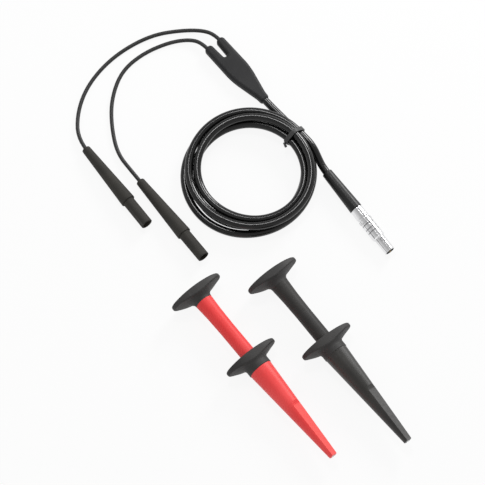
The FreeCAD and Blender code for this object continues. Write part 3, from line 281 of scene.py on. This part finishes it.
JACKET = cord_rubber("cable_jacket_black", grey(0.004), grey(0.008), rough=0.18, specular=0.42)
LEAD_SKIN = cord_rubber("lead_skin_black", grey(0.020), grey(0.032), rough=0.45, specular=0.3)
FINISHES = {
    "junction": moulded(
        "junction_grain", colour(0.012, 0.012, 0.013), colour(0.022, 0.022, 0.023),
        rough=0.62, grain=0.0009, depth=0.00008, specular=0.3),
    "plug": moulded(
        "plug_plastic_black", colour(0.027, 0.0255, 0.0225), colour(0.042, 0.039, 0.034),
        rough=0.7, grain=0.0008, depth=0.00004, specular=0.25),
    "boot": moulded("relief_boot_black", grey(0.008), grey(0.016), rough=0.42, specular=0.35),
    "tie": moulded("tie_plastic_black", grey(0.006), grey(0.02), rough=0.45, specular=0.3),
    "chrome": turned_metal(
        "plug_bright_chrome", colour(0.83, 0.83, 0.84),
        rough=0.16, turn=CONNECTOR_TURN, pitch=CONNECTOR_PITCH),
    "brass": turned_metal(
        "contact_gold_brass", colour(0.83, 0.62, 0.28), rough=0.25, turn=CONNECTOR_TURN, pitch=0.0),
    "steel": turned_metal(
        "hook_bright_steel", colour(0.68, 0.68, 0.67), rough=0.25, turn=CLIP_TURN, pitch=0.0),
    "insulator": moulded(
        "white_insulator", colour(0.75, 0.74, 0.7), colour(0.85, 0.84, 0.8), rough=0.4),
    "tinned": moulded("tinned_crimp", colour(0.5, 0.5, 0.49), colour(0.62, 0.62, 0.6), rough=0.4),
    "clip_black": moulded(
        "clip_plastic_black", colour(0.016, 0.0145, 0.013), colour(0.027, 0.025, 0.022),
        rough=0.42, grain=0.0008, depth=0.00004,
        # pale tone of the painted highlight on the barrel's facet
        highlight_way=BLACK_FACET_HIGHLIGHT_WAY, highlight_tone=colour(0.075, 0.074, 0.072)),
    "wing_black": moulded(
        "wing_plastic_black", colour(0.026, 0.025, 0.0245), colour(0.042, 0.040, 0.039),
        rough=0.58, grain=0.0008, depth=0.00004, wear=0.15, specular=0.35),
    "shaft_black": moulded(
        "shaft_plastic_black", colour(0.018, 0.0165, 0.0155), colour(0.030, 0.028, 0.026),
        rough=0.55, grain=0.0008, depth=0.00004, specular=0.32),
    "shaft_red": moulded(
        "shaft_plastic_red", colour(0.82, 0.045, 0.045), colour(0.88, 0.066, 0.064),
        rough=0.5, grain=0.0007, wear=0.2, specular=0.3),
    "clip_red": moulded(
        "clip_plastic_red", colour(0.84, 0.048, 0.048), colour(0.90, 0.070, 0.068),
        rough=0.42, grain=0.0007, wear=0.2, specular=0.4,
        # pale tone of the painted highlight on the barrel's facet
        highlight_way=RED_FACET_HIGHLIGHT_WAY, highlight_tone=colour(0.92, 0.10, 0.09)),
}


def dress(finish, *nodes):
    """Gives CAD nodes their finish."""
    for name in nodes:
        materials = NODES[name].data.materials
        if len(materials):
            for at in range(len(materials)):
                materials[at] = FINISHES[finish]
        else:
            materials.append(FINISHES[finish])


dress("junction", "junction_moulding")
dress("tinned", "outer_lead_joint", "inner_lead_joint")
for tag in ("outer", "inner"):
    dress("plug", tag + "_plug_boot", tag + "_plug_shroud")
    dress("brass", tag + "_plug_pin", tag + "_plug_lantern_spring")
    dress("boot", tag + "_lead_split_end", tag + "_plug_lead_end")
dress("boot", "main_cable_split_end", "connector_boot", "connector_cable_end")
dress("chrome", "connector_nut", "connector_release_sleeve", "connector_latch_sleeve")
dress("brass", "connector_collet", "connector_centre_pin")
dress("insulator", "connector_insulator")
dress("tie", "cable_tie")
for tag in ("red", "black"):
    clip = tag + "_clip_"
    dress("wing_black", clip + "thumb_button", clip + "finger_flange")
    dress("clip_black", clip + "stop_ring", clip + "guide_bush")
    dress("shaft_" + tag, clip + "plunger")
    dress("clip_" + tag, clip + "barrel")
    dress("brass", clip + "socket")
    dress("steel", clip + "hook", clip + "return_spring")


def return_spring(tag):
    """A copy of the clip's spring, with a mesh of its own, attached to the clip; the real spring
    shortens against its seat in the barrel as the clip is pressed.
    """
    node = NODES[tag + "_clip_return_spring"]
    spring = bpy.data.objects.new(tag + "_clip_coil_spring", node.data.copy())
    bpy.context.scene.collection.objects.link(spring)
    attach(spring, tag + "_clip")
    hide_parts(tag + "_clip_return_spring")
    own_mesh(spring)


for tag in ("red", "black"):
    return_spring(tag)

# cords, in millimetres
CABLE = 5.5
LEAD = 2.8
CORD_STEPS = 5
CORD_ROUNDNESS = 10


def round_cord(name, spots, diameter, finish):
    """A smooth round cord whose control points are the route's own points."""
    curve = bpy.data.curves.new(name, "CURVE")
    curve.dimensions = "3D"
    spline = curve.splines.new("NURBS")
    spline.points.add(len(spots) - 1)
    for point, spot in zip(spline.points, spots):
        point.co = (*(Vector(spot) * MM), 1.0)
    spline.order_u = 3
    spline.use_endpoint_u = True
    spline.resolution_u = CORD_STEPS
    spline.use_smooth = True
    curve.bevel_depth = diameter / 2 * MM
    curve.bevel_resolution = CORD_ROUNDNESS
    curve.use_fill_caps = True
    curve.materials.append(finish)
    cord = bpy.data.objects.new(name, curve)
    bpy.context.scene.collection.objects.link(cord)
    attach(cord, "lead_set")
    return cord


# each strand of the coil spreads out by its fan opposite the tie and by its shift just past the tie
COIL_CENTRE = Vector((7.5, -78.7, 0.0))
COIL_RADIUS = 44.9
COIL_PITCH = 5.95
COIL_TURNS = 4
COIL_FANS = (5.0, 4.7, 0.0, 0.1)
COIL_SHIFTS = (-1.76, -1.76, 3.8, 3.41)
COIL_TOP_RISE = 1.4
TIE_AZIMUTH = math.radians(40.0)
TIE_LIFT = 1.15
# degrees past the tie, from and to
SHIFT_GROWS = (0.0, 50.0)
SHIFT_FADES = (100.0, 180.0)
TOP_GROWS = (220.0, 300.0)
TOP_FADES = (300.0, 360.0)
# turns from the start: the climb from and to, and each hump's size in millimetres, place and reach
CLIMB = (1.66, 2.05)
INNER_TUCK = (3.36, 2.06, 0.27)
RIDGE_OUT = (1.84, 3.07, 0.24)
RIDGE_RISE = (4.14, 3.07, 0.54)
STEPS_PER_ARC = 4
ARCS_PER_TURN = 4
CORNER_CUT = 1 / 8


def ease(share):
    """Rises smoothly from 0 to 1."""
    share = min(max(share, 0.0), 1.0)
    return share * share * (3 - 2 * share)


def rise(value, low, high):
    """0 up to low, 1 from high on, smooth in between."""
    return ease((value - low) / (high - low))


def hump(turned_by, size, at, reach):
    """Rises smoothly to a size at one place and back to 0."""
    return size * ease(1 - abs(turned_by - at) / reach)


def coil_spot(turned_by):
    """The cable's centre after so many clockwise turns from the tie."""
    strand = min(int(turned_by), COIL_TURNS - 1)
    around = math.tau * turned_by
    passed = 360 * (turned_by - strand)
    wound = turned_by if turned_by < COIL_TURNS / 2 else COIL_TURNS - turned_by
    radius = COIL_RADIUS - COIL_PITCH * wound + COIL_FANS[strand] * math.sin(around / 2) ** 2
    radius += COIL_SHIFTS[strand] * rise(passed, *SHIFT_GROWS) * (1 - rise(passed, *SHIFT_FADES))
    radius += COIL_TOP_RISE * rise(passed, *TOP_GROWS) * (1 - rise(passed, *TOP_FADES))
    radius += hump(turned_by, *INNER_TUCK) + hump(turned_by, *RIDGE_OUT)
    azimuth = TIE_AZIMUTH - around
    height = CABLE / 2 + COIL_PITCH * rise(turned_by, *CLIMB)
    height += hump(turned_by, *RIDGE_RISE) + TIE_LIFT * max(0.0, math.cos(around)) ** 2
    return COIL_CENTRE + Vector((radius * math.cos(azimuth), radius * math.sin(azimuth), height))


def coil_way(turned_by):
    """The cable's direction there."""
    step = 1e-4
    low = max(turned_by - step, 0.0)
    high = min(turned_by + step, COIL_TURNS)
    return (coil_spot(high) - coil_spot(low)).normalized()


def arc_spots(start, corner, end):
    """Even points from start to just before end on the arc whose tangents meet at the corner."""
    weight = (end - start).length / (2 * (corner - start).length)
    for step in range(STEPS_PER_ARC):
        share = step / STEPS_PER_ARC
        parts = ((1 - share) ** 2, 2 * share * (1 - share) * weight, share ** 2)
        yield (start * parts[0] + corner * parts[1] + end * parts[2]) / sum(parts)


def quarter_spots(low, high):
    """Points on the two tangent arcs that carry the cable from one station to the next."""
    start, end = coil_spot(low), coil_spot(high)
    way, end_way = coil_way(low), coil_way(high)
    chord = end - start
    both = way + end_way
    square = 4 - both.dot(both)
    slope = 2 * both.dot(chord)
    reach = (-slope + math.sqrt(slope * slope + 4 * square * chord.dot(chord))) / (2 * square)
    first_corner = start + way * reach
    last_corner = end - end_way * reach
    joint = (first_corner + last_corner) / 2
    return [*arc_spots(start, first_corner, joint), *arc_spots(joint, last_corner, end)]


def coil_route():
    """Control points just outside the coil's arcs, so that the smooth cord runs along the arcs."""
    stations = [at / ARCS_PER_TURN for at in range(ARCS_PER_TURN * COIL_TURNS + 1)]
    on_path = [spot for low, high in zip(stations, stations[1:]) for spot in quarter_spots(low, high)]
    on_path.append(coil_spot(COIL_TURNS))
    first = on_path[0] - coil_way(0) * CABLE
    last = on_path[-1] + coil_way(COIL_TURNS) * CABLE
    along = [first, *on_path, last]
    outward = [
        here - (before - 2 * here + after) * CORNER_CUT
        for before, here, after in zip(along, along[1:], along[2:])]
    outward[0], outward[-1] = on_path[0], on_path[-1]
    return [first, *outward, last]


# routes in millimetres, and lengths in metres
MAIN_IN = [(16.96, -20.62, 3.50), (22.04, -26.80, 3.50), (33.44, -39.31, 3.90)]
MAIN_OUT = [
    (49.28, -58.26, 9.85), (52.51, -63.32, 9.25), (55.08, -69.15, 7.89), (58.28, -76.13, 6.64),
    (62.82, -82.33, 6.41),
]
OUTER_ROUTE = [
    (-12.59, 24.21, 3.50), (-17.68, 30.39, 3.50), (-27.00, 34.30, 2.60), (-42.40, 34.80, 1.40),
    (-62.00, 31.30, 1.40), (-81.30, 20.60, 1.40), (-97.20, 6.30, 1.40), (-109.30, -11.90, 1.40),
    (-114.80, -31.60, 1.40), (-113.88, -52.12, 2.70), (-106.09, -62.39, 3.22),
]
OUTER_LENGTH = 0.1714
INNER_ROUTE = [
    (-21.32, 17.03, 3.50), (-26.40, 23.21, 3.50), (-35.20, 26.90, 2.60), (-50.50, 25.20, 1.40),
    (-69.60, 15.90, 1.40), (-84.40, 1.60, 1.40), (-90.80, -19.60, 1.40), (-90.60, -40.00, 1.40),
    (-86.00, -62.40, 1.40), (-75.36, -76.98, 2.70), (-67.46, -87.17, 3.22),
]
INNER_LENGTH = 0.1698

main_cable = round_cord("main_cable", MAIN_IN + coil_route() + MAIN_OUT, CABLE, JACKET)
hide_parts("main_cable_split_side", "main_cable_coil", "main_cable_plug_side")

for tag, route, length in (("outer", OUTER_ROUTE, OUTER_LENGTH), ("inner", INNER_ROUTE, INNER_LENGTH)):
    lead = round_cord(tag + "_lead_cord", route, LEAD, LEAD_SKIN)
    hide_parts(tag + "_lead")

# floor and sky, with sizes in metres
FLOOR_REACH = 6.0
FLOOR_CORNERS = ((-1, -1), (1, -1), (1, 1), (-1, 1))
FLOOR_TONE = grey(0.8)
FLOOR_GLOW = 0.9
WHITE = grey(1.0)
HORIZON_LIGHT = 0.88
OVERHEAD_LIGHT = 0.42


def white_floor():
    """White to the camera and to reflections, with the object's shadow left on it."""
    material = bpy.data.materials.new("floor_white")
    tree = Tree(material)
    tree.nodes.clear()
    matte = tree.node("ShaderNodeBsdfDiffuse", {}, {"Color": FLOOR_TONE})
    glow = tree.node("ShaderNodeEmission", {}, {"Color": WHITE})
    seen = tree.math("MAXIMUM", tree.ray("Is Camera Ray"), tree.ray("Is Glossy Ray"))
    both = tree.node("ShaderNodeMixShader", {}, {0: seen * FLOOR_GLOW, 1: matte, 2: glow})
    tree.node("ShaderNodeOutputMaterial", {}, {"Surface": both})
    return material


def studio_sky():
    """Pale near the horizon, dimmer overhead, and white to the camera."""
    world = bpy.data.worlds.new("studio")
    tree = Tree(world)
    way = tree.node("ShaderNodeTexCoord", {}, {}, "Generated")
    height = tree.node("ShaderNodeSeparateXYZ", {}, {0: way}, "Z")
    fade = tree.node(
        "ShaderNodeMapRange", {},
        {"Value": height, "To Min": HORIZON_LIGHT, "To Max": OVERHEAD_LIGHT})
    sky = tree.nodes["Background"]
    tree.supply(sky.inputs["Color"], tree.math("MAXIMUM", fade, tree.ray("Is Camera Ray")))
    tree.supply(sky.inputs["Strength"], 1.0)
    return world


floor_mesh = bpy.data.meshes.new("floor")
floor_mesh.from_pydata(
    [(x * FLOOR_REACH, y * FLOOR_REACH, 0) for x, y in FLOOR_CORNERS], [], [(0, 1, 2, 3)])
floor = bpy.data.objects.new("floor", floor_mesh)
bpy.context.scene.collection.objects.link(floor)
floor_mesh.materials.append(white_floor())
bpy.context.scene.world = studio_sky()

# lights and camera: places and sides in metres, power in watts
AIM = Vector((0.00225, -0.1297, 0.0))
LIGHTS = {
    "key": {"from_aim": (0.60, 0.93, 0.58), "side": 0.36, "power": 9.5},
    "top": {"from_aim": (-0.10, 0.42, 1.05), "side": 0.22, "power": 2.6},
}
CAMERA_SPOT = Vector((0.00225, -0.6167, 1.2053))
FAR_END = 50.0
# the photo's half width and the camera's focal length, both in its pixels
HALF_WIDTH = 242.5
FOCAL_LENGTH = 1884.06
SENSOR = 36.0


def aimed(spot):
    """The placing of a light or camera at that spot, turned to the aim."""
    turn = (AIM - spot).to_track_quat("-Z", "Y").to_matrix().to_4x4()
    return Matrix.Translation(spot) @ turn


def soft_light(name, from_aim, side, power):
    lamp = bpy.data.lights.new(name, "AREA")
    lamp.shape = "SQUARE"
    lamp.size = side
    lamp.energy = power
    holder = bpy.data.objects.new(name, lamp)
    bpy.context.scene.collection.objects.link(holder)
    holder.matrix_world = aimed(AIM + Vector(from_aim))


for name, light in LIGHTS.items():
    soft_light(name, **light)

camera_data = bpy.data.cameras.new("camera")
camera_data.sensor_width = SENSOR
camera_data.sensor_height = SENSOR
camera_data.sensor_fit = "HORIZONTAL"
camera_data.angle = 2 * math.atan(HALF_WIDTH / FOCAL_LENGTH)
camera_data.clip_end = FAR_END
camera = bpy.data.objects.new("camera", camera_data)
bpy.context.scene.collection.objects.link(camera)
camera.matrix_world = aimed(CAMERA_SPOT)
bpy.context.scene.camera = camera
bpy.context.scene.view_settings.view_transform = "Standard"
